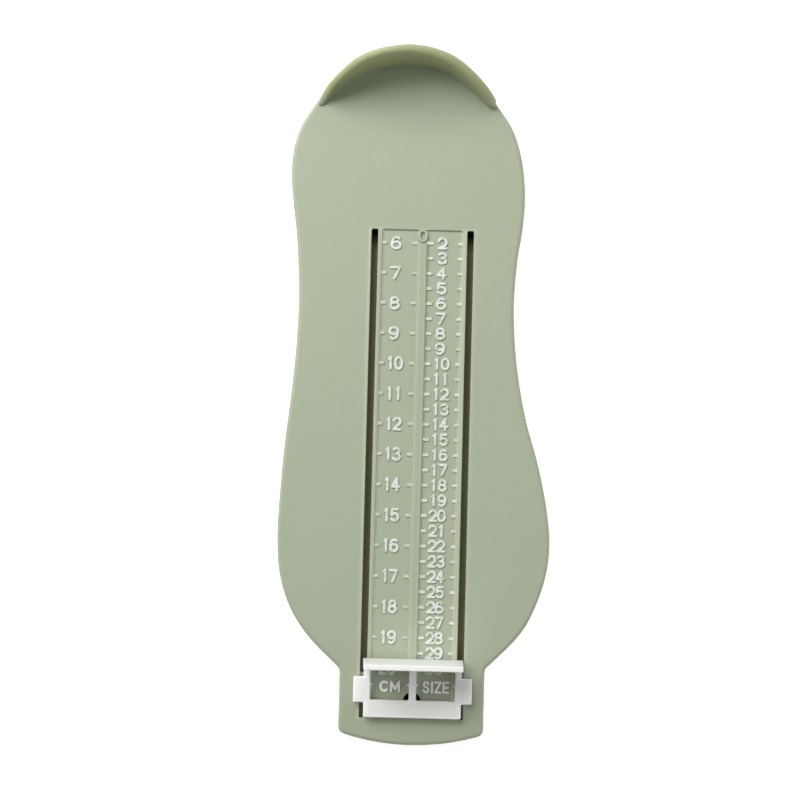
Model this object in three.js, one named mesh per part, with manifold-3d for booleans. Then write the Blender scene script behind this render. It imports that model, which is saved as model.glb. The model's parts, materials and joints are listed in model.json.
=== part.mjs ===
// Foot measuring device: a one-piece footplate with a heel cup and a printed scale, a sliding toe stop and the strap that holds it.
// Millimetres. +X is the right side with the toes pointing at the viewer, +Y points to the heel, +Z is up, z = 0 is the table.
import * as THREE from "three";
import { mergeVertices } from "three/addons/utils/BufferGeometryUtils.js";
import Module from "manifold-3d";

const wasm = await Module();
wasm.setup();

// ---- driving dimensions ----
const AXIS_X = 0.45; // x of the centre line of the scale
const ZERO_Y = 111.85; // y of the zero of the scale, close to the inner face of the heel cup
const PLATE_TOP = 5.0; // height of the tread surface above the table
const SKIN = 2.0; // thickness of the tread
const SKIRT = 1.8; // thickness of the skirt round the edge
const EDGE_ROUND = 1.3; // rounding of the top edge
const LIP = 0.4; // raised lip on both sides of each slot
const LIP_WIDTH = 1.1;

const SLOT_IN = 14.75; // distance of a slot's inner side from the centre line
const SLOT_OUT = 16.95;
const SLOT_FIRST = 55.6; // scale positions of the slot ends
const SLOT_LAST = 216.4;

const FIELD_DEPTH = 0.9; // depth of the two number fields
const FIELD_IN = 1.6; // half the width of the rib between them
const FIELD_OUT = 13.6;
const FIELD_FIRST = 55.7;
const FIELD_LAST = 214.6;
const CM_FIRST = 6; // first and last centimetre of the scale
const CM_LAST = 20;
const TICK_LONG = 1.9;
const TICK_WIDE = 0.65;
const TICK_HIGH = 0.55;

const CUP_THICK = 2.3; // wall of the heel cup
const CUP_MORE = 1.0; // how much thicker it is at its right end
const CUP_HEEL = 0.4; // how much of that it has in the middle of the heel
const FLANGE = 0.75; // step between the cup and the outer edge at its ends

const HANG_HOLE = 5.8; // diameter of the hanging hole
const HANG_AT = 210.7;
const HANG_RING = 0.7; // width of the raised ring round it

const GAP = 0.3; // play between pieces that slide or touch
const SHIFT = 0.3; // how far the slider's upper part sits right of its legs
const STOP_AT = 196.85; // scale position of the face of the toe stop
const STOP_THICK = 1.7;
const STOP_TOP = 24.7; // height of the toe stop above the table
const STOP_HALF = 16.3; // half its width at the foot
const STOP_DRAFT = 0.5; // how much narrower it is on each side at the top
const FRAME_END = 215.7;
const FRAME_HALF = 15.9;
const FRAME_THICK = 2.6;
const WINDOW_FIRST = 200.6;
const WINDOW_LAST = 210.1;
const WINDOW_IN = 1.2; // half the width of the bar between the windows
const WINDOW_OUT = 13.8;
const EAR_FIRST = 202.7;
const EAR_LAST = 210.9;
const EAR_OUT = 19.3;
const MARK_AT = 205.2; // scale position of the reading marks
const LEG_IN = 15.2;
const LEG_THICK = 1.3;
const LEG_FIRST = 203.2;
const LEG_LAST = 210.4;
const STRAP_THICK = 1.2;
const STRAP_HALF = 19.6;
const BRIDGE_LAST = 206.2; // the strap is shorter between the slots, clear of the hanging hole
const BRIDGE_HALF = 12.6;

// ---- helpers ----
const at = (u, s) => new THREE.Vector2(u + AXIS_X, ZERO_Y - s); // across and along the scale

function solid(geometry) {
  const g = geometry.index ? geometry.toNonIndexed() : geometry.clone();
  g.deleteAttribute("normal");
  g.deleteAttribute("uv");
  const merged = mergeVertices(g, 1e-4);
  return new wasm.Manifold(
    new wasm.Mesh({
      numProp: 3,
      vertProperties: new Float32Array(merged.attributes.position.array),
      triVerts: new Uint32Array(merged.index.array),
    }),
  );
}

function prism(points, z0, z1) {
  return solid(
    new THREE.ExtrudeGeometry(new THREE.Shape(points), {
      depth: z1 - z0,
      bevelEnabled: false,
    }).translate(0, 0, z0),
  );
}

// A slab whose top edge is rounded: the bevel of its underside is cut away.
function roundedSlab(points, top, radius) {
  const g = new THREE.ExtrudeGeometry(new THREE.Shape(points), {
    depth: 20,
    bevelEnabled: true,
    bevelThickness: radius,
    bevelSize: radius,
    bevelOffset: -radius,
    bevelSegments: 4,
  }).translate(0, 0, top - radius - 20);
  const below = solid(
    new THREE.BoxGeometry(400, 400, 60).translate(0, 0, -30),
  );
  return solid(g).subtract(below);
}

function box(u0, u1, s0, s1, z0, z1) {
  const a = at(u0, s0),
    b = at(u1, s1);
  return solid(
    new THREE.BoxGeometry(
      Math.abs(b.x - a.x),
      Math.abs(b.y - a.y),
      z1 - z0,
    ).translate((a.x + b.x) / 2, (a.y + b.y) / 2, (z0 + z1) / 2),
  );
}

function all(solids) {
  return wasm.Manifold.union(solids);
}

function spline(points, divisions, closed = false) {
  const curve = new THREE.CatmullRomCurve3(
    points.map((p) => new THREE.Vector3(p.x, p.y, 0)),
    closed,
    "centripetal",
  );
  const list = curve.getSpacedPoints(divisions);
  if (closed) list.pop();
  return list.map((p) => new THREE.Vector2(p.x, p.y));
}

// Moves each point of a line along its normal, to the left of the direction of travel.
function offset(points, distance, closed = false) {
  const n = points.length;
  return points.map((p, i) => {
    const a = closed ? points[(i + n - 1) % n] : points[Math.max(i - 1, 0)],
      b = closed ? points[(i + 1) % n] : points[Math.min(i + 1, n - 1)];
    const t = b.clone().sub(a).normalize(),
      d = typeof distance === "function" ? distance(i) : distance;
    return new THREE.Vector2(p.x - t.y * d, p.y + t.x * d);
  });
}

// A rectangle with small round corners as a list of points.
function roundedRect(u0, u1, s0, s1, r, steps = 4) {
  const list = [];
  for (const [uc, sc, first] of [
    [u1 - r, s1 - r, 0],
    [u0 + r, s1 - r, 90],
    [u0 + r, s0 + r, 180],
    [u1 - r, s0 + r, 270],
  ])
    for (let i = 0; i <= steps; i++) {
      const a = ((first + (90 * i) / steps) * Math.PI) / 180;
      list.push(at(uc + r * Math.cos(a), sc + r * Math.sin(a)));
    }
  return list;
}

// ---- footplate ----
// Inner face of the heel cup, from its left end to its right end.
const cupInner = spline(
  [
    [-34.6, 15.6],
    [-32.0, 12.3],
    [-28.4, 9.0],
    [-21.9, 4.9],
    [-15.2, 2.55],
    [-8.7, 1.4],
    [-5.0, 1.25],
    [1.3, 1.9],
    [8.0, 4.15],
    [14.7, 8.7],
    [18.9, 12.4],
    [21.4, 15.2],
  ].map(([u, s]) => at(u, s)),
  46,
);
const ease = (i) => 1 - (1 - Math.max((i / 46 - 0.45) / 0.55, 0)) ** 2;
const cupWall = (i) =>
  CUP_THICK +
  CUP_HEEL * THREE.MathUtils.smoothstep(i / 46, 0.1, 0.3) +
  (CUP_MORE - CUP_HEEL) * ease(i);
const cupOuter = offset(cupInner, cupWall);
const cup = prism([...cupInner, ...cupOuter.slice().reverse()], 3.4, 40);

// Height of the cup's rim above the table across its width.
const rimLine = spline(
  [
    [-40.0, 5.6],
    [-36.6, 5.7],
    [-35.0, 6.3],
    [-33.8, 8.0],
    [-32.6, 10.8],
    [-31.2, 13.4],
    [-28.0, 16.9],
    [-21.8, 22.2],
    [-15.0, 24.6],
    [-9.0, 25.0],
    [-4.0, 24.6],
    [2.0, 23.3],
    [8.0, 21.4],
    [14.5, 17.7],
    [19.0, 13.4],
    [21.6, 9.4],
    [23.2, 7.2],
    [25.0, 6.2],
    [28.0, 6.0],
  ].map(([u, z]) => new THREE.Vector2(u + AXIS_X, z)),
  44,
);
const rimBody = solid(
  new THREE.ExtrudeGeometry(
    new THREE.Shape([
      ...rimLine,
      new THREE.Vector2(28 + AXIS_X, 0),
      new THREE.Vector2(-40 + AXIS_X, 0),
    ]),
    { depth: 60, bevelEnabled: false },
  )
    .rotateX(Math.PI / 2)
    .translate(0, ZERO_Y + 15, 0),
);

// Outer edge, from the left end of the heel cup round the toes and back.
const heelEdge = offset(
  cupInner,
  (i) => CUP_THICK + FLANGE + CUP_MORE * ease(i),
);
const heelKeys = [6, 12, 18, 24, 30, 36, 41].map((i) => heelEdge[i]);
const edgeKeys = [
  ...[
    [24.9, 14.9],
    [28.9, 20.9],
    [32.0, 30.0],
    [33.6, 42.0],
    [33.2, 53.2],
    [31.5, 66.0],
    [30.8, 81.0],
    [32.0, 98.5],
    [35.3, 116.5],
    [40.2, 133.5],
    [43.3, 148.5],
    [44.25, 158.5],
    [43.4, 168.0],
    [40.2, 178.6],
    [35.8, 187.2],
    [27.4, 196.4],
    [19.0, 203.5],
    [0.0, 210.0],
    [-19.0, 204.3],
    [-27.0, 197.7],
    [-35.5, 189.1],
    [-41.0, 180.4],
    [-44.35, 170.0],
    [-45.4, 158.5],
    [-45.05, 145.0],
    [-43.9, 127.5],
    [-42.05, 109.4],
    [-40.95, 94.5],
    [-40.6, 79.0],
    [-41.7, 59.5],
    [-43.35, 46.5],
    [-44.15, 36.5],
    [-43.15, 27.4],
    [-40.4, 20.0],
  ].map(([u, s]) => at(u, s)),
  ...heelKeys,
];
const edge = spline(edgeKeys, 130, true);
// Tab at the toes: straight sides, a slightly bowed end and small corners.
const tabShape = (inset) => {
  const side = 23.8 - inset,
    mid = 0.05,
    end = 225.1 - inset,
    bow = 3.8,
    corner = Math.max(2.3 - inset, 0.4),
    list = [at(mid + side, 190), at(mid + side, end - bow - corner)];
  const radius = (side * side + bow * bow) / (2 * bow);
  const first = Math.asin((side - corner * 0.8) / radius);
  for (let i = 0; i <= 14; i++) {
    const a = first - (2 * first * i) / 14;
    list.push(
      at(mid + radius * Math.sin(a), end - radius * (1 - Math.cos(a))),
    );
  }
  list.push(at(mid - side, end - bow - corner), at(mid - side, 190));
  return list;
};

const slab = roundedSlab(edge, PLATE_TOP, EDGE_ROUND).add(
  roundedSlab(tabShape(0), PLATE_TOP, EDGE_ROUND),
);
const under = all([
  prism(offset(edge, -SKIRT, true), -1, PLATE_TOP - SKIN),
  prism(tabShape(SKIRT), -1, PLATE_TOP - SKIN),
]);

const slots = [-1, 1].map((k) =>
  prism(
    k < 0
      ? roundedRect(-SLOT_OUT, -SLOT_IN, SLOT_FIRST, SLOT_LAST, 0.55)
      : roundedRect(SLOT_IN, SLOT_OUT, SLOT_FIRST, SLOT_LAST, 0.55),
    -2,
    10,
  ),
);
const lips = [-1, 1].map((k) =>
  prism(
    k < 0
      ? roundedRect(
          -SLOT_OUT - LIP_WIDTH,
          -SLOT_IN + LIP_WIDTH,
          SLOT_FIRST - LIP_WIDTH,
          SLOT_LAST + LIP_WIDTH,
          0.55 + LIP_WIDTH,
        )
      : roundedRect(
          SLOT_IN - LIP_WIDTH,
          SLOT_OUT + LIP_WIDTH,
          SLOT_FIRST - LIP_WIDTH,
          SLOT_LAST + LIP_WIDTH,
          0.55 + LIP_WIDTH,
        ),
    PLATE_TOP - 1,
    PLATE_TOP + LIP,
  ),
);
const floor = PLATE_TOP - FIELD_DEPTH;
const fields = all([
  box(-FIELD_OUT, -FIELD_IN, FIELD_FIRST, FIELD_LAST, floor, 12),
  box(FIELD_IN, FIELD_OUT, FIELD_FIRST, FIELD_LAST, floor, 12),
]);
// The rib between the fields stands as high as the lips.
const rib = box(-FIELD_IN, FIELD_IN, 59.3, FIELD_LAST + 0.4, 4, PLATE_TOP + LIP);

const ticks = [];
const tick = (u, s, out) =>
  ticks.push(
    box(
      Math.min(u - 0.3 * out, u + TICK_LONG * out),
      Math.max(u - 0.3 * out, u + TICK_LONG * out),
      s - TICK_WIDE / 2,
      s + TICK_WIDE / 2,
      floor - 0.3,
      floor + TICK_HIGH,
    ),
  );
for (let cm = CM_FIRST; cm <= CM_LAST; cm++) {
  tick(-FIELD_OUT, cm * 10, 1);
  tick(-FIELD_IN, cm * 10, -1);
}
for (let s = CM_FIRST * 10; s <= CM_LAST * 10; s += 5) {
  tick(FIELD_IN, s, 1);
  tick(FIELD_OUT, s, -1);
}

// Ribs on the underside, one outside each slot.
const ribs = [-1, 1].map((k) =>
  box(k * 22.5 - 0.6, k * 22.5 + 0.6, 12, 205, 1.0, PLATE_TOP - SKIN + 0.5),
);

const hangHole = solid(
  new THREE.CylinderGeometry(HANG_HOLE / 2, HANG_HOLE / 2, 20, 28)
    .rotateX(Math.PI / 2)
    .translate(at(0.2, HANG_AT).x, at(0.2, HANG_AT).y, 0),
);

const hangRing = solid(
  new THREE.CylinderGeometry(
    HANG_HOLE / 2 + HANG_RING,
    HANG_HOLE / 2 + HANG_RING,
    PLATE_TOP - floor + 0.3,
    28,
  )
    .rotateX(Math.PI / 2)
    .translate(
      at(0.2, HANG_AT).x,
      at(0.2, HANG_AT).y,
      (PLATE_TOP + floor - 0.3) / 2,
    ),
);

const footplateSolid = all([
  slab.subtract(under),
  ...ribs,
  cup.intersect(rimBody),
  ...lips,
  rib,
])
  .subtract(fields)
  .add(all(ticks))
  .add(hangRing)
  .subtract(all(slots))
  .subtract(hangHole);

// ---- slider ----
const frame0 = PLATE_TOP + LIP + GAP;
const frame1 = frame0 + FRAME_THICK;
const stopFace = new THREE.Shape([
  new THREE.Vector2(-STOP_HALF, frame0),
  new THREE.Vector2(STOP_HALF, frame0),
  new THREE.Vector2(STOP_HALF - STOP_DRAFT, STOP_TOP - 0.3),
  new THREE.Vector2(STOP_HALF - STOP_DRAFT - 0.3, STOP_TOP),
  new THREE.Vector2(-STOP_HALF + STOP_DRAFT + 0.3, STOP_TOP),
  new THREE.Vector2(-STOP_HALF + STOP_DRAFT, STOP_TOP - 0.3),
]);
const stop = solid(
  new THREE.ExtrudeGeometry(stopFace, {
    depth: STOP_THICK,
    bevelEnabled: false,
  })
    .rotateX(Math.PI / 2)
    .translate(AXIS_X, at(0, STOP_AT).y, 0),
);
const legs = [];
const ears = [-1, 1].flatMap((k) => {
  const lo = (a, b) => [Math.min(k * a, k * b), Math.max(k * a, k * b)];
  const [e0, e1] = lo(FRAME_HALF - 0.5, EAR_OUT),
    [l0, l1] = lo(LEG_IN, LEG_IN + LEG_THICK),
    [b0, b1] = lo(LEG_IN - 0.7, LEG_IN + LEG_THICK);
  legs.push(
    box(l0, l1, LEG_FIRST, LEG_LAST, 0.6, frame0 + 0.5),
    box(b0, b1, LEG_FIRST, LEG_LAST, 0.6, 0.6 + 0.6),
  );
  return [box(e0, e1, EAR_FIRST, EAR_LAST, frame0, frame1)];
});
const windows = all([
  box(-WINDOW_OUT, -WINDOW_IN, WINDOW_FIRST, WINDOW_LAST, 0, 30),
  box(WINDOW_IN, WINDOW_OUT, WINDOW_FIRST, WINDOW_LAST, 0, 30),
]);
const mark = (u, k) =>
  prism(
    [at(u, MARK_AT - 0.75), at(u + 0.95 * k, MARK_AT), at(u, MARK_AT + 0.75)],
    frame0,
    frame0 + 1.6,
  );
const sliderTop = all([
  box(-FRAME_HALF, FRAME_HALF, STOP_AT + 1, FRAME_END, frame0, frame1).subtract(
    windows,
  ),
  stop,
  ...ears,
  mark(-WINDOW_OUT - 0.2, 1),
  mark(-WINDOW_IN + 0.2, -1),
  mark(WINDOW_IN - 0.2, 1),
  mark(WINDOW_OUT + 0.2, -1),
]);
const sliderSolid = sliderTop.translate([SHIFT, 0, 0]).add(all(legs));

// ---- strap under the plate ----
const strapTop = PLATE_TOP - SKIN - GAP;
const strapSolid = box(
  -STRAP_HALF,
  STRAP_HALF,
  LEG_FIRST - 1.4,
  LEG_LAST + 1.4,
  strapTop - STRAP_THICK,
  strapTop,
).subtract(
  all(
    [-1, 1].map((k) => {
      const a = k * (LEG_IN - GAP),
        b = k * (LEG_IN + LEG_THICK + GAP);
      return box(
        Math.min(a, b),
        Math.max(a, b),
        LEG_FIRST - GAP,
        LEG_LAST + GAP,
        -1,
        8,
      );
    }),
  ).add(box(-BRIDGE_HALF, BRIDGE_HALF, BRIDGE_LAST, LEG_LAST + 5, -1, 8)),
);

// ---- scene ----
function piece(name, made, color, roughness) {
  const m = made.getMesh();
  const g = new THREE.BufferGeometry();
  const v = new Float32Array(m.numVert * 3);
  for (let i = 0; i < m.numVert; i++)
    v.set(m.vertProperties.subarray(i * m.numProp, i * m.numProp + 3), i * 3);
  g.setAttribute("position", new THREE.BufferAttribute(v, 3));
  g.setIndex(new THREE.BufferAttribute(m.triVerts, 1));
  g.computeVertexNormals();
  const mesh = new THREE.Mesh(
    g,
    new THREE.MeshStandardMaterial({ color, roughness, metalness: 0 }),
  );
  mesh.name = name;
  return mesh;
}

const device = new THREE.Group();
device.name = "foot_measuring_device";
device.add(piece("footplate", footplateSolid, 0xa9b58f, 0.5));
device.add(piece("slider", sliderSolid, 0xeeede6, 0.35));
device.add(piece("slider_strap", strapSolid, 0xeeede6, 0.4));

export default device;
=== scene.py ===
import json
import math

import bmesh
import bpy
from mathutils import Matrix, Vector

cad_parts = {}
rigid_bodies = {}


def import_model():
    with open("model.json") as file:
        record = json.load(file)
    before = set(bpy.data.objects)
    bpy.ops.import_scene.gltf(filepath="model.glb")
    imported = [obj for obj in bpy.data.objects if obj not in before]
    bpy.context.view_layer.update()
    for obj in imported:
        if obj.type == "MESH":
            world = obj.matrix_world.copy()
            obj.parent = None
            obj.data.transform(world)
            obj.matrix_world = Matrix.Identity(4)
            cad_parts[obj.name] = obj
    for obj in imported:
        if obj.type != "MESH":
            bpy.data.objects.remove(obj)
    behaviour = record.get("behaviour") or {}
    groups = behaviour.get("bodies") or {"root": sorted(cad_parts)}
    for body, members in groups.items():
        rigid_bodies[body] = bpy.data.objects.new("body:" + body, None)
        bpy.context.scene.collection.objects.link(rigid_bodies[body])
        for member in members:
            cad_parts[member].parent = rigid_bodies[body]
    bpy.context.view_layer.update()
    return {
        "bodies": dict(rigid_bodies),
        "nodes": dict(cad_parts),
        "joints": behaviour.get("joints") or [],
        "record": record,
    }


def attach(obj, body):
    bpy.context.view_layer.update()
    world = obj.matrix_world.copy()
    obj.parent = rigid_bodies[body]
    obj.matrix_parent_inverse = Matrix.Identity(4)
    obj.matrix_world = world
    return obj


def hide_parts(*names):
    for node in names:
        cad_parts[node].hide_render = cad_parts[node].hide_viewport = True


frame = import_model()

# ---- measures in millimetres, the same as in the solids ----
AXIS_X = 0.45
ZERO_Y = 111.85
PLATE_TOP = 5.0
SKIN = 2.0
SKIRT = 1.8
EDGE_ROUND = 1.3
LIP = 0.4
LIP_WIDTH = 1.1
SLOT_IN = 14.75
SLOT_OUT = 16.95
SLOT_FIRST = 55.6
SLOT_LAST = 216.4
FIELD_DEPTH = 0.9
FIELD_IN = 1.6
FIELD_OUT = 13.6
FIELD_FIRST = 55.7
FIELD_LAST = 214.6
FLOOR = PLATE_TOP - FIELD_DEPTH + 0.25
TICK_WIDE = 0.65
TICK_HIGH = 0.55
CUP_THICK = 2.3
CUP_MORE = 1.0
CUP_HEEL = 0.4
FLANGE = 0.75
HANG_HOLE = 5.8
HANG_U = 0.2
HANG_AT = 210.7
HANG_RING = 0.7
GAP = 0.3
SHIFT = 0.3
STOP_AT = 196.85
STOP_THICK = 1.7
STOP_TOP = 24.7
STOP_HALF = 16.3
STOP_DRAFT = 0.5
FRAME_END = 215.7
FRAME_HALF = 15.9
FRAME_THICK = 2.6
WINDOW_FIRST = 200.6
WINDOW_LAST = 210.1
WINDOW_IN = 1.2
WINDOW_OUT = 13.8
EAR_FIRST = 202.7
EAR_LAST = 210.9
EAR_OUT = 19.3
MARK_AT = 205.2
LEG_IN = 15.2
LEG_THICK = 1.3
LEG_FIRST = 203.2
LEG_LAST = 210.4
STRAP_THICK = 1.2
STRAP_HALF = 19.6
BRIDGE_LAST = 206.2
BRIDGE_HALF = 12.6
FRAME_0 = PLATE_TOP + LIP + GAP
FRAME_1 = FRAME_0 + FRAME_THICK


# ---- camera, at the place that the ticks and slots give ----
def make_camera():
    data = bpy.data.cameras.new("camera")
    data.sensor_fit = "HORIZONTAL"
    data.sensor_width = 36.0
    data.lens = 36.0 * 1667.93 / 800.0
    data.shift_x = -0.4 / 800.0
    data.shift_y = 0.45 / 800.0
    data.clip_start = 0.01
    data.clip_end = 20.0
    cam = bpy.data.objects.new("camera", data)
    bpy.context.scene.collection.objects.link(cam)
    a, c = math.radians(-2.486), math.radians(-1.475)
    turn = Matrix.Rotation(c, 3, "Z") @ Matrix.Rotation(a, 3, "X")
    spot = Vector((-6.03 + AXIS_X, ZERO_Y - 136.156, 549.482 + PLATE_TOP - FIELD_DEPTH + TICK_HIGH))
    cam.matrix_world = (
        Matrix.Translation(spot * 0.001) @ turn.transposed().to_4x4()
    )
    bpy.context.scene.camera = cam


make_camera()


# ---- outlines, as lists of points in the plate's plane ----
def at(u, s):
    """The point u to the right of the scale's centre line and s along the scale."""
    return (u + AXIS_X, ZERO_Y - s)


def spline(points, count, closed=False):
    """Evenly spaced points on a centripetal Catmull-Rom curve."""
    n = len(points)
    fine = []
    for i in range(n if closed else n - 1):
        p1, p2 = points[i], points[(i + 1) % n]
        p0 = (
            points[i - 1]
            if closed or i > 0
            else (2 * p1[0] - p2[0], 2 * p1[1] - p2[1])
        )
        p3 = (
            points[(i + 2) % n]
            if closed or i + 2 < n
            else (2 * p2[0] - p1[0], 2 * p2[1] - p1[1])
        )
        d0, d1, d2 = (
            math.sqrt(math.dist(p, q)) for p, q in ((p0, p1), (p1, p2), (p2, p3))
        )
        c = []
        for k in (0, 1):
            t1 = (
                (p1[k] - p0[k]) / d0
                - (p2[k] - p0[k]) / (d0 + d1)
                + (p2[k] - p1[k]) / d1
            ) * d1
            t2 = (
                (p2[k] - p1[k]) / d1
                - (p3[k] - p1[k]) / (d1 + d2)
                + (p3[k] - p2[k]) / d2
            ) * d1
            c.append(
                (
                    p1[k],
                    t1,
                    -3 * p1[k] + 3 * p2[k] - 2 * t1 - t2,
                    2 * p1[k] - 2 * p2[k] + t1 + t2,
                )
            )
        for j in range(40):
            t = j / 40
            fine.append(tuple(((q[3] * t + q[2]) * t + q[1]) * t + q[0] for q in c))
    fine.append(fine[0] if closed else tuple(points[-1]))
    return resample(fine, count, closed)


def resample(points, count, closed=False):
    run = [0.0]
    for a, b in zip(points, points[1:]):
        run.append(run[-1] + math.dist(a, b))
    out, k = [], 0
    for i in range(count if closed else count + 1):
        want = run[-1] * i / count
        while k < len(run) - 2 and run[k + 1] < want:
            k += 1
        step = run[k + 1] - run[k]
        t = (want - run[k]) / step if step else 0.0
        out.append(
            tuple(a + (b - a) * t for a, b in zip(points[k], points[k + 1]))
        )
    return out


def normals(points, closed):
    """For each point the vector to the right of the travel that keeps the sides parallel when it is scaled."""
    n = len(points)
    out = []
    for i in range(n):
        sides = []
        for a, b in (
            ((i - 1) % n, i) if closed or i > 0 else (i, i + 1),
            (i, (i + 1) % n) if closed or i < n - 1 else (i - 1, i),
        ):
            dx, dy = points[b][0] - points[a][0], points[b][1] - points[a][1]
            d = math.hypot(dx, dy) or 1.0
            sides.append((dy / d, -dx / d))
        nx, ny = sides[0][0] + sides[1][0], sides[0][1] + sides[1][1]
        q = max(nx * nx + ny * ny, 0.5)
        out.append((2 * nx / q, 2 * ny / q))
    return out


def grow(points, d):
    """A closed counterclockwise outline moved outwards by d."""
    return [
        (p[0] + n[0] * d, p[1] + n[1] * d)
        for p, n in zip(points, normals(points, True))
    ]


def counterclockwise(points):
    area = sum(
        a[0] * b[1] - b[0] * a[1] for a, b in zip(points, points[1:] + points[:1])
    )
    return points if area > 0 else points[::-1]


def rect(u0, u1, s0, s1, r, steps=6):
    """A rectangle with round corners, counterclockwise."""
    x0, x1 = u0 + AXIS_X, u1 + AXIS_X
    y0, y1 = ZERO_Y - s1, ZERO_Y - s0
    out = []
    for cx, cy, first in (
        (x1 - r, y0 + r, -90),
        (x1 - r, y1 - r, 0),
        (x0 + r, y1 - r, 90),
        (x0 + r, y0 + r, 180),
    ):
        for k in range(steps + 1):
            a = math.radians(first + 90 * k / steps)
            out.append((cx + r * math.cos(a), cy + r * math.sin(a)))
    return out


def circle(u, s, r, steps=72):
    cx, cy = at(u, s)
    return [
        (
            cx + r * math.cos(2 * math.pi * k / steps),
            cy + r * math.sin(2 * math.pi * k / steps),
        )
        for k in range(steps)
    ]


def mirror(points):
    """The same outline on the other side of the centre line."""
    return [(2 * AXIS_X - x, y) for x, y in points][::-1]


# ---- bodies ----
def body(name, verts, faces):
    """A closed body in millimetres, with its faces pointing out."""
    mesh = bpy.data.meshes.new(name)
    bm = bmesh.new()
    vs = [bm.verts.new(v) for v in verts]
    for f in faces:
        bm.faces.new([vs[i] for i in f])
    bmesh.ops.recalc_face_normals(bm, faces=bm.faces)
    bm.to_mesh(mesh)
    bm.free()
    obj = bpy.data.objects.new(name, mesh)
    bpy.context.scene.collection.objects.link(obj)
    return obj


def skin(rings, ends=True, around=False):
    """Vertices and faces of a skin over rings of points. With around, the last ring meets the first."""
    n = len(rings[0])
    verts = [p for r in rings for p in r]
    faces = []
    m = len(rings)
    for k in range(m if around else m - 1):
        a, b = k * n, ((k + 1) % m) * n
        for i in range(n):
            j = (i + 1) % n
            faces.append((a + i, a + j, b + j, b + i))
    if ends and not around:
        faces.append(tuple(range(n - 1, -1, -1)))
        faces.append(tuple(range((m - 1) * n, m * n)))
    return verts, faces


def stack(name, outline, levels):
    """A body from one outline at several levels, each (how far it is moved outwards, z)."""
    rings = []
    for d, z in levels:
        ring = outline if abs(d) < 1e-9 else grow(outline, d)
        rings.append([(x, y, z) for x, y in ring])
    return body(name, *skin(rings))


def round_over(r, top, steps=5, start=0.0):
    """Levels of a rounded top edge, from its foot to the flat."""
    return [
        (
            start - r * (1 - math.cos(math.pi / 2 * k / steps)),
            top - r + r * math.sin(math.pi / 2 * k / steps),
        )
        for k in range(steps + 1)
    ]


def flare(r, top, steps=4):
    """Levels of a cutter that leaves a rounded edge at the top of the hole."""
    return [
        (
            r * (1 - math.cos(math.pi / 2 * k / steps)),
            top - r + r * math.sin(math.pi / 2 * k / steps),
        )
        for k in range(steps + 1)
    ]


def block(u0, u1, s0, s1, z0, z1, r=0.0, steps=3, corner=None):
    """A box with rounded edges."""
    a, b = at(min(u0, u1), max(s0, s1)), at(max(u0, u1), min(s0, s1))
    v = [
        (x, y, z)
        for z in (z0, z1)
        for x, y in ((a[0], a[1]), (b[0], a[1]), (b[0], b[1]), (a[0], b[1]))
    ]
    f = [
        (3, 2, 1, 0),
        (4, 5, 6, 7),
        (0, 1, 5, 4),
        (1, 2, 6, 5),
        (2, 3, 7, 6),
        (3, 0, 4, 7),
    ]
    obj = body("block", v, f)
    if r:
        bm = bmesh.new()
        bm.from_mesh(obj.data)
        bmesh.ops.bevel(
            bm,
            geom=list(bm.edges),
            offset=r,
            segments=steps,
            profile=0.5,
            affect="EDGES",
            clamp_overlap=True,
        )
        bm.to_mesh(obj.data)
        bm.free()
    return obj


def extrusion(section, s0, s1, side=1):
    """A bar along the scale with a cross-section of (u, z) points; side -1 mirrors it."""
    ring = [(side * u + AXIS_X, z) for u, z in section]
    y0, y1 = ZERO_Y - s0, ZERO_Y - s1
    return body("bar", *skin([[(x, y, z) for x, z in ring] for y in (y0, y1)]))


def clean(obj, angle=0.6):
    """Flat neighbouring faces become one."""
    bm = bmesh.new()
    bm.from_mesh(obj.data)
    bmesh.ops.remove_doubles(bm, verts=bm.verts, dist=0.002)
    bmesh.ops.dissolve_limit(
        bm,
        angle_limit=math.radians(angle),
        use_dissolve_boundaries=False,
        verts=bm.verts,
        edges=bm.edges,
    )
    bm.to_mesh(obj.data)
    bm.free()
    return obj


def bevel(obj, width, segments=3, angle=30):
    m = obj.modifiers.new("bevel", "BEVEL")
    m.width = width
    m.segments = segments
    m.limit_method = "ANGLE"
    m.angle_limit = math.radians(angle)
    m.use_clamp_overlap = True
    m.miter_outer = "MITER_ARC"
    return fix(obj)


def fix(obj):
    """Makes the modifiers' result the mesh itself."""
    dg = bpy.context.evaluated_depsgraph_get()
    mesh = bpy.data.meshes.new_from_object(obj.evaluated_get(dg))
    obj.modifiers.clear()
    obj.data = mesh
    return obj


def boolean(obj, tool, operation):
    before = len(obj.data.vertices)
    m = obj.modifiers.new("boolean", "BOOLEAN")
    m.operation = operation
    m.object = tool
    for solver in ("MANIFOLD", "EXACT"):
        m.solver = solver
        dg = bpy.context.evaluated_depsgraph_get()
        mesh = bpy.data.meshes.new_from_object(obj.evaluated_get(dg))
        changed = len(mesh.vertices) != before
        if len(mesh.vertices) and changed:
            break
        print("boolean", obj.name, tool.name, operation, solver, "changed nothing")
    obj.modifiers.clear()
    obj.data = mesh
    bpy.data.objects.remove(tool)
    return obj


def join(obj, *tools):
    for t in tools:
        boolean(obj, t, "UNION")
    return obj


def cut(obj, *tools):
    for t in tools:
        boolean(obj, t, "DIFFERENCE")
    return obj


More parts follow.
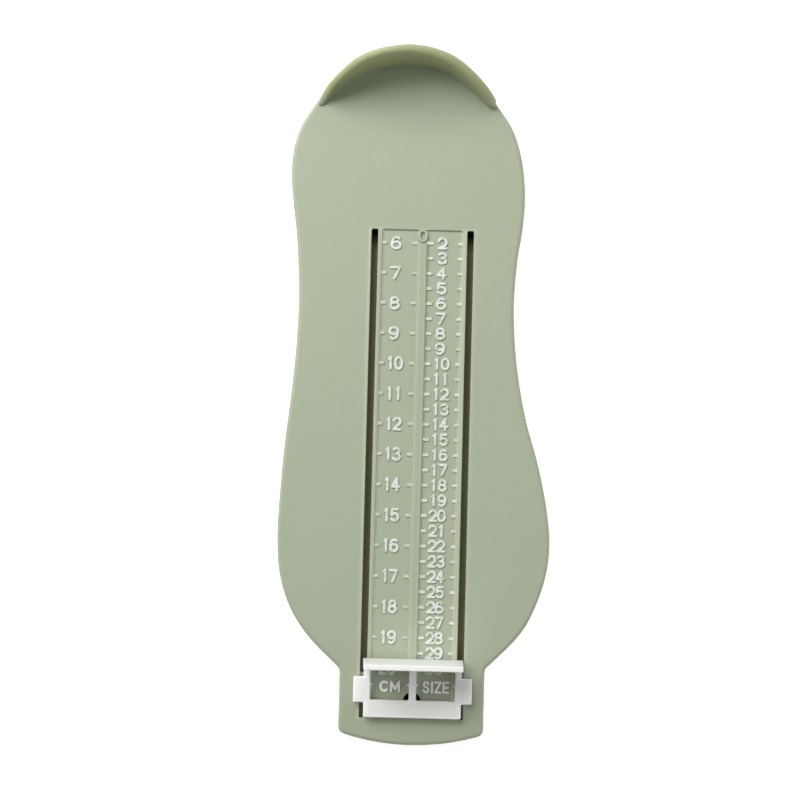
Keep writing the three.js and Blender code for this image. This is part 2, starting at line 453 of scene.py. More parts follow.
def finished(obj, name, rides, slot, *materials, angle=32, weighted=True):
    """Turns a body in millimetres into a shown piece in metres."""
    obj.name = name
    obj.data.name = name
    obj.data.transform(Matrix.Scale(0.001, 4))
    obj.data.materials.clear()
    for m in materials:
        obj.data.materials.append(m)
    for p in obj.data.polygons:
        p.use_smooth = True
    obj.data.set_sharp_from_angle(angle=math.radians(angle))
    if weighted:
        w = obj.modifiers.new("weighted", "WEIGHTED_NORMAL")
        w.keep_sharp = True
        w.weight = 60
        w.mode = "FACE_AREA"
    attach(obj, rides)
    return obj


# ---- materials ----
def node_material(name, roughness, make):
    m = bpy.data.materials.new(name)
    m.use_nodes = True
    nodes, links = m.node_tree.nodes, m.node_tree.links
    shader = nodes["Principled BSDF"]
    shader.inputs["Metallic"].default_value = 0.0
    coords = nodes.new("ShaderNodeTexCoord")

    def noise(scale, detail=3.0, rough=0.55):
        n = nodes.new("ShaderNodeTexNoise")
        n.inputs["Scale"].default_value = scale
        n.inputs["Detail"].default_value = detail
        n.inputs["Roughness"].default_value = rough
        links.new(coords.outputs["Object"], n.inputs["Vector"])
        return n.outputs["Fac"]

    def ramp(value, low, high, a, b):
        r = nodes.new("ShaderNodeMapRange")
        r.inputs["From Min"].default_value = low
        r.inputs["From Max"].default_value = high
        r.inputs["To Min"].default_value = a
        r.inputs["To Max"].default_value = b
        links.new(value, r.inputs["Value"])
        return r.outputs["Result"]

    def mix(factor, a, b):
        x = nodes.new("ShaderNodeMix")
        x.data_type = "RGBA"
        links.new(factor, x.inputs["Factor"])
        for socket, value in ((x.inputs[6], a), (x.inputs[7], b)):
            if isinstance(value, tuple):
                socket.default_value = (*value, 1.0)
            else:
                links.new(value, socket)
        return x.outputs[2]

    def bump(height, strength, distance, normal=None):
        b = nodes.new("ShaderNodeBump")
        b.inputs["Strength"].default_value = strength
        b.inputs["Distance"].default_value = distance
        links.new(height, b.inputs["Height"])
        if normal is not None:
            links.new(normal, b.inputs["Normal"])
        return b.outputs["Normal"]

    def height(low, high):
        """How far a point lies between two heights above the table, from 0 to 1."""
        split = nodes.new("ShaderNodeSeparateXYZ")
        links.new(coords.outputs["Object"], split.inputs["Vector"])
        return ramp(split.outputs["Z"], low, high, 0.0, 1.0)

    def calc(operation, a, b=None):
        n = nodes.new("ShaderNodeMath")
        n.operation = operation
        for socket, value in zip(n.inputs, (a, b)):
            if isinstance(value, (int, float)):
                socket.default_value = value
            elif value is not None:
                links.new(value, socket)
        return n.outputs[0]

    def pale_strips():
        """Painted highlight and painted light: 1 beside the slots, on the rib's left shoulder and on the shaded
        walls of the sunk fields, 0 elsewhere.
        """
        split = nodes.new("ShaderNodeSeparateXYZ")
        links.new(coords.outputs["Object"], split.inputs["Vector"])
        u = calc("SUBTRACT", split.outputs["X"], AXIS_X * 0.001)
        middle = (SLOT_IN + SLOT_OUT) * 0.0005
        away = calc("ABSOLUTE", calc("SUBTRACT", calc("ABSOLUTE", u), middle))
        side = ramp(away, 0.0018, 0.0026, 0.62, 0.0)
        shoulder = calc("ABSOLUTE", calc("ADD", u, 0.0012))
        rib = ramp(shoulder, 0.0003, 0.0008, 0.45, 0.0)
        y0, y1 = (ZERO_Y - SLOT_LAST) * 0.001, (ZERO_Y - SLOT_FIRST) * 0.001
        inside = calc(
            "MULTIPLY",
            ramp(split.outputs["Y"], y0 - 0.0008, y0, 0.0, 1.0),
            ramp(split.outputs["Y"], y1, y1 + 0.0008, 1.0, 0.0),
        )
        top = ramp(split.outputs["Z"], 0.0048, 0.00495, 0.0, 1.0)
        # painted light on the walls between the strips and the sunk fields, and on the rib's right side, lifting
        # the shade that falls there
        outer = calc("ABSOLUTE", calc("SUBTRACT", calc("ABSOLUTE", u), (FIELD_OUT - 0.35) * 0.001))
        inner = calc("ABSOLUTE", calc("SUBTRACT", u, FIELD_IN * 0.001))
        walls = calc("MAXIMUM", ramp(outer, 0.0004, 0.0007, 0.9, 0.0), ramp(inner, 0.0004, 0.0009, 0.8, 0.0))
        walls = calc("MULTIPLY", walls, ramp(split.outputs["Z"], (FLOOR + 0.02) * 0.001, (FLOOR + 0.15) * 0.001, 0.0, 1.0))
        tops = calc("MULTIPLY", calc("MAXIMUM", side, rib), top)
        return calc("MULTIPLY", calc("MAXIMUM", tops, walls), inside)

    def pale_edges():
        """Painted light: 1 at the slider's outer edges, its centre bar and the stop's top, which are painted whiter
        to lift the stop's shade and to add edge highlights, 0 elsewhere.
        """
        split = nodes.new("ShaderNodeSeparateXYZ")
        links.new(coords.outputs["Object"], split.inputs["Vector"])
        u = calc("ABSOLUTE", calc("SUBTRACT", split.outputs["X"], (AXIS_X + SHIFT) * 0.001))
        y = split.outputs["Y"]
        ear0, ear1 = (ZERO_Y - EAR_LAST) * 0.001, (ZERO_Y - EAR_FIRST) * 0.001
        off_ear = calc(
            "MAXIMUM",
            ramp(y, ear0 - 0.0002, ear0 + 0.0008, 1.0, 0.0),
            ramp(y, ear1 - 0.0008, ear1 + 0.0002, 0.0, 1.0),
        )
        side = calc("MULTIPLY", ramp(u, 0.0141, 0.0154, 0.0, 1.0), off_ear)
        ear = ramp(u, 0.0162, 0.0186, 0.0, 1.0)
        bar = calc(
            "MULTIPLY",
            ramp(u, 0.0013, 0.0021, 1.0, 0.0),
            ramp(y, (ZERO_Y - WINDOW_LAST - 1.2) * 0.001, (ZERO_Y - WINDOW_LAST) * 0.001, 0.0, 1.0),
        )
        toe = (ZERO_Y - FRAME_END) * 0.001
        end = ramp(y, toe + 0.0003, toe + 0.0011, 0.9, 0.0)
        stop = ramp(split.outputs["Z"], (STOP_TOP - 1.0) * 0.001, (STOP_TOP - 0.2) * 0.001, 0.0, 1.0)
        most = calc("MAXIMUM", calc("MAXIMUM", side, ear), calc("MAXIMUM", bar, end))
        behind = (ZERO_Y - STOP_AT - STOP_THICK) * 0.001
        frame = calc(
            "MULTIPLY",
            ramp(y, behind - 0.0004, behind - 0.0001, 1.0, 0.0),
            ramp(split.outputs["Z"], (FRAME_1 + 0.1) * 0.001, (FRAME_1 + 0.5) * 0.001, 1.0, 0.0),
        )
        return calc("MAXIMUM", calc("MULTIPLY", most, frame), calc("MULTIPLY", stop, 0.6))

    def heelward():
        """1 on faces that look towards the heel, 0 elsewhere."""
        split = nodes.new("ShaderNodeSeparateXYZ")
        links.new(coords.outputs["Normal"], split.inputs["Vector"])
        return ramp(split.outputs["Y"], 0.3, 0.8, 0.0, 1.0)

    make(shader, links, noise, ramp, mix, bump, height, pale_strips, pale_edges, heelward)
    return m


def sage(shader, links, noise, ramp, mix, bump, height, pale_strips, pale_edges, heelward):
    tint = mix(
        ramp(noise(22.0, 2.0), 0.3, 0.7, 0.0, 1.0),
        (0.374, 0.422, 0.297),
        (0.390, 0.436, 0.310),
    )
    tint = mix(ramp(noise(420.0, 4.0), 0.35, 0.75, 0.0, 0.35), tint, (0.354, 0.405, 0.282))
    # painted highlight: the strips beside the slots and the rib's left shoulder are paler, and painted light lifts
    # the shade on the field walls
    tint = mix(pale_strips(), tint, (0.462, 0.516, 0.378))
    # painted light: the heel cup's thin wall is tinted yellower than the tread, for light shining through the thin
    # plastic and bouncing off the green, less so on its outer face
    wall = mix(heelward(), (0.358, 0.400, 0.207), (0.366, 0.411, 0.262))
    tint = mix(height(0.0056, 0.010), tint, wall)
    links.new(tint, shader.inputs["Base Color"])
    links.new(ramp(noise(65.0, 3.0), 0.3, 0.7, 0.44, 0.54), shader.inputs["Roughness"])
    fine = bump(noise(2600.0, 2.0), 0.22, 0.00004)
    links.new(bump(noise(240.0, 2.0), 0.06, 0.0002, fine), shader.inputs["Normal"])
    shader.inputs["IOR"].default_value = 1.5


def white(shader, links, noise, ramp, mix, bump, height, pale_strips, pale_edges, heelward):
    tint = mix(
        ramp(noise(45.0, 3.0), 0.3, 0.7, 0.0, 1.0),
        (0.825, 0.83, 0.80),
        (0.85, 0.85, 0.825),
    )
    # painted light: the thin edges, the bar between the windows and the stop's top are painted whiter, lifting the
    # stop's shade and adding edge highlights
    links.new(mix(pale_edges(), tint, (0.975, 0.975, 0.955)), shader.inputs["Base Color"])
    links.new(ramp(noise(120.0, 3.0), 0.3, 0.7, 0.40, 0.50), shader.inputs["Roughness"])
    links.new(bump(noise(1500.0, 2.0), 0.03, 0.00002), shader.inputs["Normal"])
    shader.inputs["IOR"].default_value = 1.5
    shader.inputs["Subsurface Weight"].default_value = 0.2
    shader.inputs["Subsurface Radius"].default_value = (0.0025, 0.0024, 0.0021)
    shader.inputs["Subsurface Scale"].default_value = 1.0


def foil(cover, tint=(0.74, 0.76, 0.72)):
    """The white that is stamped on raised marks. Where it is thin the plastic shows."""

    def make(shader, links, noise, ramp, mix, bump, height, pale_strips, pale_edges, heelward):
        worn = ramp(noise(700.0, 3.0), cover - 0.12, cover + 0.12, 0.0, 1.0)
        links.new(
            mix(worn, tint, (0.47, 0.52, 0.39)),
            shader.inputs["Base Color"],
        )
        links.new(
            ramp(noise(300.0, 2.0), 0.3, 0.7, 0.32, 0.46), shader.inputs["Roughness"]
        )
        links.new(bump(noise(1800.0, 2.0), 0.15, 0.00004), shader.inputs["Normal"])

    return make


GREEN = node_material("sage_plastic", 0.5, sage)
WHITE = node_material("white_plastic", 0.3, white)
FOIL = node_material("stamped_white", 0.4, foil(0.58))
# painted light: the labels in the windows get an unworn stamping of a whiter white, which lifts the stop's shade
# that falls on them
FOIL_SHADE_LIFTED = node_material("stamped_white_painted_light", 0.4, foil(0.95, (0.97, 0.98, 0.95)))
FOIL_THIN = node_material("stamped_white_thin", 0.4, foil(0.52, (0.60, 0.64, 0.545)))
FOIL_TICK = node_material("stamped_white_tick", 0.4, foil(0.58, (0.70, 0.73, 0.66)))

# ---- footplate ----
CUP_KEYS = [
    (-34.6, 15.6),
    (-32.0, 12.3),
    (-28.4, 9.0),
    (-21.9, 4.9),
    (-15.2, 2.55),
    (-8.7, 1.4),
    (-5.0, 1.25),
    (1.3, 1.9),
    (8.0, 4.15),
    (14.7, 8.7),
    (18.9, 12.4),
    (21.4, 15.2),
]
RIM_KEYS = [
    (-40.0, 5.6),
    (-36.6, 5.7),
    (-35.0, 6.3),
    (-33.8, 8.0),
    (-32.6, 10.8),
    (-31.2, 13.4),
    (-28.0, 16.9),
    (-21.8, 22.2),
    (-15.0, 24.6),
    (-9.0, 25.0),
    (-4.0, 24.6),
    (2.0, 23.3),
    (8.0, 21.4),
    (14.5, 17.7),
    (19.0, 13.4),
    (21.6, 9.4),
    (23.2, 7.2),
    (25.0, 6.2),
    (28.0, 6.0),
]
EDGE_KEYS = [
    (24.9, 14.9),
    (28.9, 20.9),
    (32.0, 30.0),
    (33.6, 42.0),
    (33.2, 53.2),
    (31.5, 66.0),
    (30.8, 81.0),
    (32.0, 98.5),
    (35.3, 116.5),
    (40.2, 133.5),
    (43.3, 148.5),
    (44.25, 158.5),
    (43.4, 168.0),
    (40.2, 178.6),
    (35.8, 187.2),
    (27.4, 196.4),
    (19.0, 203.5),
    (0.0, 210.0),
    (-19.0, 204.3),
    (-27.0, 197.7),
    (-35.5, 189.1),
    (-41.0, 180.4),
    (-44.35, 170.0),
    (-45.4, 158.5),
    (-45.05, 145.0),
    (-43.9, 127.5),
    (-42.05, 109.4),
    (-40.95, 94.5),
    (-40.6, 79.0),
    (-41.7, 59.5),
    (-43.35, 46.5),
    (-44.15, 36.5),
    (-43.15, 27.4),
    (-40.4, 20.0),
]
TAB_SIDE, TAB_MID, TAB_END, TAB_BOW, TAB_CORNER = 23.8, 0.05, 225.1, 3.8, 2.5

cup_line = spline([at(*p) for p in CUP_KEYS], 368)
cup_normals = [(-x, -y) for x, y in normals(cup_line, False)]


def cup_wall(t):
    """Thickness of the cup's wall, t = 0 at its left end and 1 at its right end."""
    x = min(max((t - 0.1) / 0.2, 0.0), 1.0)
    return CUP_THICK + CUP_HEEL * x * x * (3 - 2 * x) + (CUP_MORE - CUP_HEEL) * ease(t)


def ease(t):
    return 1 - (1 - max((t - 0.45) / 0.55, 0.0)) ** 2


def heel_edge():
    out = []
    for k, (p, n) in enumerate(zip(cup_line, cup_normals)):
        d = CUP_THICK + FLANGE + CUP_MORE * ease(k / (len(cup_line) - 1))
        out.append((p[0] + n[0] * d, p[1] + n[1] * d))
    return out


def outline():
    """The whole outer edge: the foot's shape with the tab at the toes, counterclockwise."""
    heel = heel_edge()
    keys = [at(*p) for p in EDGE_KEYS] + [heel[i * 8] for i in (6, 12, 18, 24, 30, 36, 41)]
    foot = spline(keys, 720, True)
    right, left = TAB_MID + TAB_SIDE + AXIS_X, TAB_MID - TAB_SIDE + AXIS_X
    low = ZERO_Y - 190
    inside = [i for i, p in enumerate(foot) if left < p[0] < right and p[1] < low]
    first, last = inside[0], inside[-1]

    def cross(a, b, x):
        t = (x - a[0]) / (b[0] - a[0])
        return (x, a[1] + (b[1] - a[1]) * t)

    c1 = cross(foot[first - 1], foot[first], right)
    c2 = cross(foot[last], foot[last + 1], left)
    radius = (TAB_SIDE**2 + TAB_BOW**2) / (2 * TAB_BOW)
    arc_y = ZERO_Y - TAB_END + radius
    mid_x = TAB_MID + AXIS_X
    reach = math.sqrt((radius - TAB_CORNER) ** 2 - (TAB_SIDE - TAB_CORNER) ** 2)
    corner_y = arc_y - reach
    turn = math.asin((TAB_SIDE - TAB_CORNER) / (radius - TAB_CORNER))
    tab = []
    for k in range(1, 8):
        tab.append((right, c1[1] + (corner_y - c1[1]) * k / 8))
    for k in range(9):
        a = (turn - math.pi / 2) * k / 8
        tab.append(
            (
                right - TAB_CORNER + TAB_CORNER * math.cos(a),
                corner_y + TAB_CORNER * math.sin(a),
            )
        )
    for k in range(1, 48):
        a = turn - 2 * turn * k / 48
        tab.append((mid_x + radius * math.sin(a), arc_y - radius * math.cos(a)))
    for k in range(9):
        a = -math.pi / 2 - turn - (math.pi / 2 - turn) * k / 8
        tab.append(
            (
                left + TAB_CORNER + TAB_CORNER * math.cos(a),
                corner_y + TAB_CORNER * math.sin(a),
            )
        )
    for k in range(1, 8):
        tab.append((left, corner_y + (c2[1] - corner_y) * k / 8))

    def blend(before, corner, after, size=1.1, steps=8):
        """A small hollow in the corner between the foot and the tab."""

        def towards(q):
            d = math.dist(corner, q)
            return tuple(c + (x - c) * size / d for c, x in zip(corner, q))

        a, b = towards(before), towards(after)
        return [
            tuple(
                (1 - t) ** 2 * p + 2 * t * (1 - t) * c + t * t * q
                for p, c, q in zip(a, corner, b)
            )
            for t in (k / steps for k in range(steps + 1))
        ]

    upto = [p for p in foot[:first] if math.dist(p, c1) > 1.3]
    beyond = [p for p in foot[last + 1 :] if math.dist(p, c2) > 1.3]
    whole = (
        upto
        + blend(upto[-1], c1, tab[0])
        + tab
        + blend(tab[-1], c2, beyond[0])
        + beyond
    )
    return counterclockwise(whole)


EDGE = outline()


def make_slab():
    """The tread with its skirt, hollow underneath."""
    tread = PLATE_TOP - SKIN
    levels = [(-SKIRT, 0.2), (-SKIRT + 0.08, 0.05), (-SKIRT + 0.25, 0.0)]
    levels += [(-0.35, 0.0), (-0.1, 0.1), (0.0, 0.35)]
    levels += round_over(EDGE_ROUND, PLATE_TOP, 8)
    levels += [(-EDGE_ROUND - 0.6, PLATE_TOP)]
    inner = [(-SKIRT - 0.45, tread), (-SKIRT - 0.3, tread), (-SKIRT - 0.09, tread - 0.09), (-SKIRT, tread - 0.3)]
    rings = [[(x, y, z) for x, y in grow(EDGE, d)] for d, z in inner + levels]
    return body("footplate_shell", *skin(rings))


def make_cup():
    """The wall round the heel: rounded rim, round ends, a small hollow at its foot."""
    count = len(cup_line)
    run = [0.0]
    for a, b in zip(cup_line, cup_line[1:]):
        run.append(run[-1] + math.dist(a, b))
    total = run[-1]
    heights = spline([(u + AXIS_X, z) for u, z in RIM_KEYS], 600)

    def height(x):
        for a, b in zip(heights, heights[1:]):
            if a[0] <= x <= b[0]:
                return a[1] + (b[1] - a[1]) * (x - a[0]) / (b[0] - a[0])
        return heights[-1][1]

    half0, half1 = cup_wall(0) / 2, cup_wall(1) / 2
    steps = (0.012, 0.06, 0.15, 0.3, 0.5, 0.75, 1.0)
    stations = [k * half0 for k in steps]
    stations += [half0 + (total - half0 - half1) * k / 150 for k in range(1, 150)]
    stations += [total - k * half1 for k in reversed(steps)]
    rings = []
    for s in stations:
        k = 0
        while k < count - 2 and run[k + 1] < s:
            k += 1
        t = (s - run[k]) / (run[k + 1] - run[k])
        px, py = (a + (b - a) * t for a, b in zip(cup_line[k], cup_line[k + 1]))
        nx, ny = cup_normals[k]
        size = math.hypot(nx, ny)
        nx, ny = nx / size, ny / size
        near = min(s, total - s)
        half = cup_wall(s / total) / 2
        f = 1.0 if near >= half else math.sqrt(1 - (1 - near / half) ** 2)
        mx = px + nx * half
        top = height(mx) - 0.5 * (1 - f)
        rim = (half - 0.12) * max(f, 0.05)
        inner_rim = (half - 0.02) * max(f, 0.05)
        hollow = 0.12
        base = PLATE_TOP
        section = [(-hollow, base - 1.1)]
        for j in range(7):
            a = math.pi / 2 * j / 6
            section.append((-hollow + hollow * math.sin(a), base + hollow - hollow * math.cos(a)))
        inner = half - half * f
        outer = half + half * f
        for j in range(7):
            a = math.pi / 2 * j / 6
            section.append((inner + inner_rim - inner_rim * math.cos(a), top - inner_rim + inner_rim * math.sin(a)))
        for j in range(7):
            a = math.pi / 2 * j / 6
            section.append((outer - rim + rim * math.sin(a), top - rim + rim * math.cos(a)))
        section += [
            (outer, base + 0.5),
            (outer + 0.03, base + 0.2),
            (outer + 0.09, base - 0.1),
            (outer + 0.2, base - 0.36),
            (outer + 0.2, base - 1.1),
        ]
        ring = []
        for d, z in section:
            if z < base + hollow + 0.01 and d < half:
                d = d + (inner if z <= base + hollow else 0)
            ring.append((px + nx * d, py + ny * d, z))
        rings.append(ring)
    return body("cup", *skin(rings))


def fields():
    """The two sunk number fields: a small hollow at the foot of their walls and a soft upper edge."""
    out = []
    for side in (-1, 1):
        rings = []
        levels = []
        for j, lip in enumerate((-1.0, -0.86, -0.70, -0.54, -0.40)):
            a = math.pi / 2 * j / 5
            levels.append((-0.4 + 0.4 * math.sin(a), lip, FLOOR + 0.37 * (1 - math.cos(a))))
        for (d, z), lip in zip(flare(0.28, PLATE_TOP), (-0.26, -0.16, -0.10, -0.06, -0.04)):
            levels.append((d, lip, z))
        levels.append((0.28, 0.0, 9.0))
        for free, lip, z in levels:
            if side < 0:
                ring = rect(-FIELD_OUT - lip, -FIELD_IN + free, FIELD_FIRST - free, FIELD_LAST + free, 0.6)
            else:
                ring = rect(FIELD_IN - free, FIELD_OUT + lip, FIELD_FIRST - free, FIELD_LAST + free, 0.6)
            rings.append([(x, y, z) for x, y in ring])
        out.append(body("field", *skin(rings)))
    return out


def ring_body(u, s, ru, rs, half, z0, z1, shoulder=0.15):
    """A raised oval ring."""
    path = []
    for k in range(64):
        a = 2 * math.pi * k / 64
        path.append(at(u + ru * math.cos(a), s - rs * math.sin(a)))
    return body("ring", *ridge(path, half, z0, z1, True, shoulder))


def ridge(path, half, z0, z1, closed=False, shoulder=0.16):
    """Vertices and faces of a raised stroke along a path, with rounded shoulders and round ends."""
    sections = []
    norm = normals(path, closed)
    if closed:
        for p, n in zip(path, norm):
            sections.append((p, n, 1.0, 0.0))
    else:
        first, last = path[0], path[-1]
        d0 = (path[1][0] - first[0], path[1][1] - first[1])
        d1 = (last[0] - path[-2][0], last[1] - path[-2][1])
        l0, l1 = math.hypot(*d0), math.hypot(*d1)
        d0, d1 = (d0[0] / l0, d0[1] / l0), (d1[0] / l1, d1[1] / l1)
        cap = []
        for a in (6, 24, 42, 60, 76):
            cap.append((math.sin(math.radians(a)), math.cos(math.radians(a))))
        for f, back in cap:
            p = (first[0] - d0[0] * half * back, first[1] - d0[1] * half * back)
            sections.append((p, norm[0], f, 1 - f))
        for p, n in zip(path, norm):
            sections.append((p, n, 1.0, 0.0))
        for f, back in cap[::-1]:
            p = (last[0] + d1[0] * half * back, last[1] + d1[1] * half * back)
            sections.append((p, norm[-1], f, 1 - f))
    rings = []
    for p, n, f, drop in sections:
        low = shoulder * drop * 0.8
        right = [(half * f, z0)]
        for k in range(4):
            a = math.pi / 2 * k / 3
            sh = shoulder * min(1.0, f + 0.15)
            right.append(
                (
                    half * f - sh * f * (1 - math.cos(a)),
                    z1 - low - sh + sh * math.sin(a),
                )
            )
        section = right + [(-d, z) for d, z in right[::-1]]
        rings.append([(p[0] + n[0] * d, p[1] + n[1] * d, z) for d, z in section])
    return skin(rings, True, closed)


def make_footplate():
    plate = make_slab()
    for side in (-1, 1):
        join(
            plate,
            block(side * 21.9, side * 23.1, 12, 205, 1.0, PLATE_TOP - SKIN + 0.4, 0.25, 2),
        )
    join(plate, make_cup())
    slot_shape = rect(SLOT_IN, SLOT_OUT, SLOT_FIRST, SLOT_LAST, 0.55)
    for shape in (slot_shape, mirror(slot_shape)):
        around = rect(SLOT_IN, SLOT_OUT, SLOT_FIRST + 0.75, SLOT_LAST - 0.75, 0.4)
        around = around if shape is slot_shape else mirror(around)
        lip = [(LIP_WIDTH + 0.1, 4.0), (LIP_WIDTH + 0.1, PLATE_TOP), (LIP_WIDTH - 0.5, PLATE_TOP + 0.12)]
        lip += [(LIP_WIDTH - 0.65, PLATE_TOP + 0.14)]
        join(plate, stack("lip", around, lip))
    cut(plate, *fields())
    # the rib between the fields stands as high as the lips
    half = FIELD_IN - 0.02
    rib = rect(-half, half, 59.3, FIELD_LAST + 0.4, 0.35)
    soft = [(0, z) if k == 0 else (d, z) for k, (d, z) in enumerate(round_over(0.55, PLATE_TOP + LIP, 5))]
    foot = [(0.6, FLOOR - 0.3), (0.6, FLOOR), (0.42, FLOOR + 0.07), (0.26, FLOOR + 0.16), (0.12, FLOOR + 0.31)]
    join(plate, stack("rib", rib, foot + [(0.04, FLOOR + 0.43)] + soft))
    # the head of the rib is lower and carries a raised nought
    head = rect(-FIELD_IN - 0.5, FIELD_IN + 0.5, FIELD_FIRST, 60.05, 0.3)
    cut(plate, stack("head", head, [(0, 4.55), (0, 9.0)]))
    join(plate, ring_body(0.05, 57.65, 1.22, 1.75, 0.42, 4.0, 5.3))
    ring = circle(HANG_U, HANG_AT, HANG_HOLE / 2 + HANG_RING)
    join(plate, stack("hang_ring", ring, [(0, FLOOR - 0.3)] + round_over(0.22, PLATE_TOP, 4)))
    for shape in (slot_shape, mirror(slot_shape)):
        cut(plate, stack("slot", shape, [(0, -2)] + flare(0.2, PLATE_TOP + 0.14) + [(0.2, 12)]))
    hole = circle(HANG_U, HANG_AT, HANG_HOLE / 2)
    cut(plate, stack("hole", hole, [(0, -2)] + flare(0.22, PLATE_TOP) + [(0.22, 12)]))
    # round marks of the ejector pins, under the tread
    for u, s in ((-30, 40), (26, 40), (-31, 110), (26, 110), (-34, 160), (33, 160), (-8, 34), (0, 218)):
        cut(plate, stack("pin", circle(u, s, 2.5, 40), [(0, 2.0), (0, PLATE_TOP - SKIN + 0.18)]))
    finished(plate, "footplate_shell", "plate", "sage_plastic", GREEN)
    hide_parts("footplate")


# ---- marks of the scale ----
def ellipse(cx, cy, rx, ry, a0, a1, steps=18):
    """Points on an ellipse from one angle to another, in degrees."""
    return [
        (
            cx + rx * math.cos(math.radians(a0 + (a1 - a0) * k / steps)),
            cy + ry * math.sin(math.radians(a0 + (a1 - a0) * k / steps)),
        )
        for k in range(steps + 1)
    ]


def strokes(char, w, h):
    """The strokes of a character as (points, closed), about its middle. w and h are half its size."""
    if char == "0":
        loop = [(w * math.copysign(abs(math.cos(a)) ** 0.85, math.cos(a)), h * math.copysign(abs(math.sin(a)) ** 0.95, math.sin(a))) for a in (2 * math.pi * k / 48 for k in range(48))]
        return [(loop, True)]
    if char == "1":
        return [([(0.12, h), (0.12, -h)], False), ([(0.12, h), (-0.42, 0.7 * h)], False)]
    if char == "2":
        cy = h - w
        qx, qy = -w, -h - cy
        q = math.hypot(qx, qy)
        end = math.degrees(math.atan2(qy, qx) + math.acos(w / q))
        arc = ellipse(0, cy, w, w, 168, end, 20)
        return [(arc + [(-w, -h)], False), ([(-w, -h), (w, -h)], False)]
    if char == "3":
        return [
            (ellipse(0, 0.53 * h, 0.88 * w, 0.47 * h, 150, -90), False),
            (ellipse(0, -0.47 * h, w, 0.53 * h, 90, -150), False),
        ]
    if char == "4":
        return [
            ([(0.3 * w, h), (-w, -0.38 * h)], False),
            ([(-w, -0.38 * h), (w, -0.38 * h)], False),
            ([(0.38 * w, h), (0.38 * w, -h)], False),
        ]
    if char == "5":
        return [
            ([(0.82 * w, h), (-0.72 * w, h)], False),
            ([(-0.72 * w, h), (-0.86 * w, 0.02 * h)], False),
            (ellipse(0, -0.36 * h, w, 0.64 * h, 146, -148, 24), False),
        ]
    if char in "69":
        k = 1 if char == "6" else -1
        stem = spline(
            [
                (0.72 * w, 0.80 * h),
                (0.32 * w, 0.98 * h),
                (-0.2 * w, 0.95 * h),
                (-0.70 * w, 0.62 * h),
                (-0.95 * w, 0.1 * h),
                (-w, -0.38 * h),
            ],
            18,
        )
        bowl = ellipse(0, -0.4 * h, w, 0.6 * h, 0, 360 - 360 / 40, 39)
        return [
            ([(k * x, k * y) for x, y in stem], False),
            ([(k * x, k * y) for x, y in bowl], True),
        ]
    if char == "7":
        return [([(-w, h), (w, h)], False), ([(w, h), (-0.25 * w, -h)], False)]
    if char == "8":
        return [
            (ellipse(0, 0.53 * h, 0.86 * w, 0.47 * h, 0, 360 - 10, 35), True),
            (ellipse(0, -0.46 * h, w, 0.54 * h, 0, 360 - 10, 35), True),
        ]
    if char == "C":
        return [(ellipse(0, 0, w, h, 48, 312, 30), False)]
    if char == "M":
        return [
            ([(-w, -h), (-w, h)], False),
            ([(-w, h), (0, -0.55 * h)], False),
            ([(0, -0.55 * h), (w, h)], False),
            ([(w, h), (w, -h)], False),
        ]
    if char == "S":
        return [
            (
                spline(
                    [
                        (0.92 * w, 0.66 * h),
                        (0.45 * w, 0.96 * h),
                        (-0.4 * w, 0.95 * h),
                        (-0.92 * w, 0.56 * h),
                        (-0.5 * w, 0.14 * h),
                        (0.5 * w, -0.12 * h),
                        (0.95 * w, -0.55 * h),
                        (0.4 * w, -0.96 * h),
                        (-0.45 * w, -0.96 * h),
                        (-0.95 * w, -0.64 * h),
                    ],
                    40,
                ),
                False,
            )
        ]
    if char == "I":
        return [([(0, h), (0, -h)], False)]
    if char == "Z":
        return [
            ([(-w, h), (w, h)], False),
            ([(w, h), (-w, -h)], False),
            ([(-w, -h), (w, -h)], False),
        ]
    if char == "E":
        return [
            ([(-w, h), (-w, -h)], False),
            ([(-w, h), (w, h)], False),
            ([(-w, 0), (0.75 * w, 0)], False),
            ([(-w, -h), (w, -h)], False),
        ]
    raise ValueError(char)


GLYPHS = {}


def glyph(char, w, h, half, z0, z1):
    """Vertices and faces of one raised character about the origin."""
    key = (char, w, h, half)
    if key not in GLYPHS:
        made = None
        for points, closed in strokes(char, w, h):
            part = body("stroke", *ridge(points, half, z0, z1, closed))
            made = part if made is None else join(made, part)
        GLYPHS[key] = (
            [tuple(v.co) for v in made.data.vertices],
            [tuple(p.vertices) for p in made.data.polygons],
        )
        bpy.data.objects.remove(made)
    return GLYPHS[key]


class Marks:
    """Raised marks gathered into one piece."""

    def __init__(self):
        self.verts, self.faces = [], []

    def add(self, verts, faces, x=0.0, y=0.0):
        n = len(self.verts)
        self.verts += [(vx + x, vy + y, vz) for vx, vy, vz in verts]
        self.faces += [tuple(n + i for i in f) for f in faces]

    def text(self, text, u, s, pitch, w, h, half, z0, z1):
        for k, char in enumerate(text):
            cu = u + (k - (len(text) - 1) / 2) * pitch
            self.add(*glyph(char, w, h, half, z0, z1), *at(cu, s))

    def bar(self, u0, u1, s, z0, z1):
        obj = block(u0, u1, s - TICK_WIDE / 2 - 0.16, s + TICK_WIDE / 2 + 0.24, z0, z1, 0.18, 3)
        self.add(
            [tuple(v.co) for v in obj.data.vertices],
            [tuple(p.vertices) for p in obj.data.polygons],
        )
        bpy.data.objects.remove(obj)

    def piece(self, name, top):
        mesh = bpy.data.meshes.new(name)
        mesh.from_pydata(self.verts, [], self.faces)
        mesh.update()
        obj = bpy.data.objects.new(name, mesh)
        bpy.context.scene.collection.objects.link(obj)
        finished(obj, name, "plate", "sage_plastic", GREEN, top, angle=40)
        for p in obj.data.polygons:
            p.material_index = 1 if p.normal.z > 0.35 else 0
        return obj


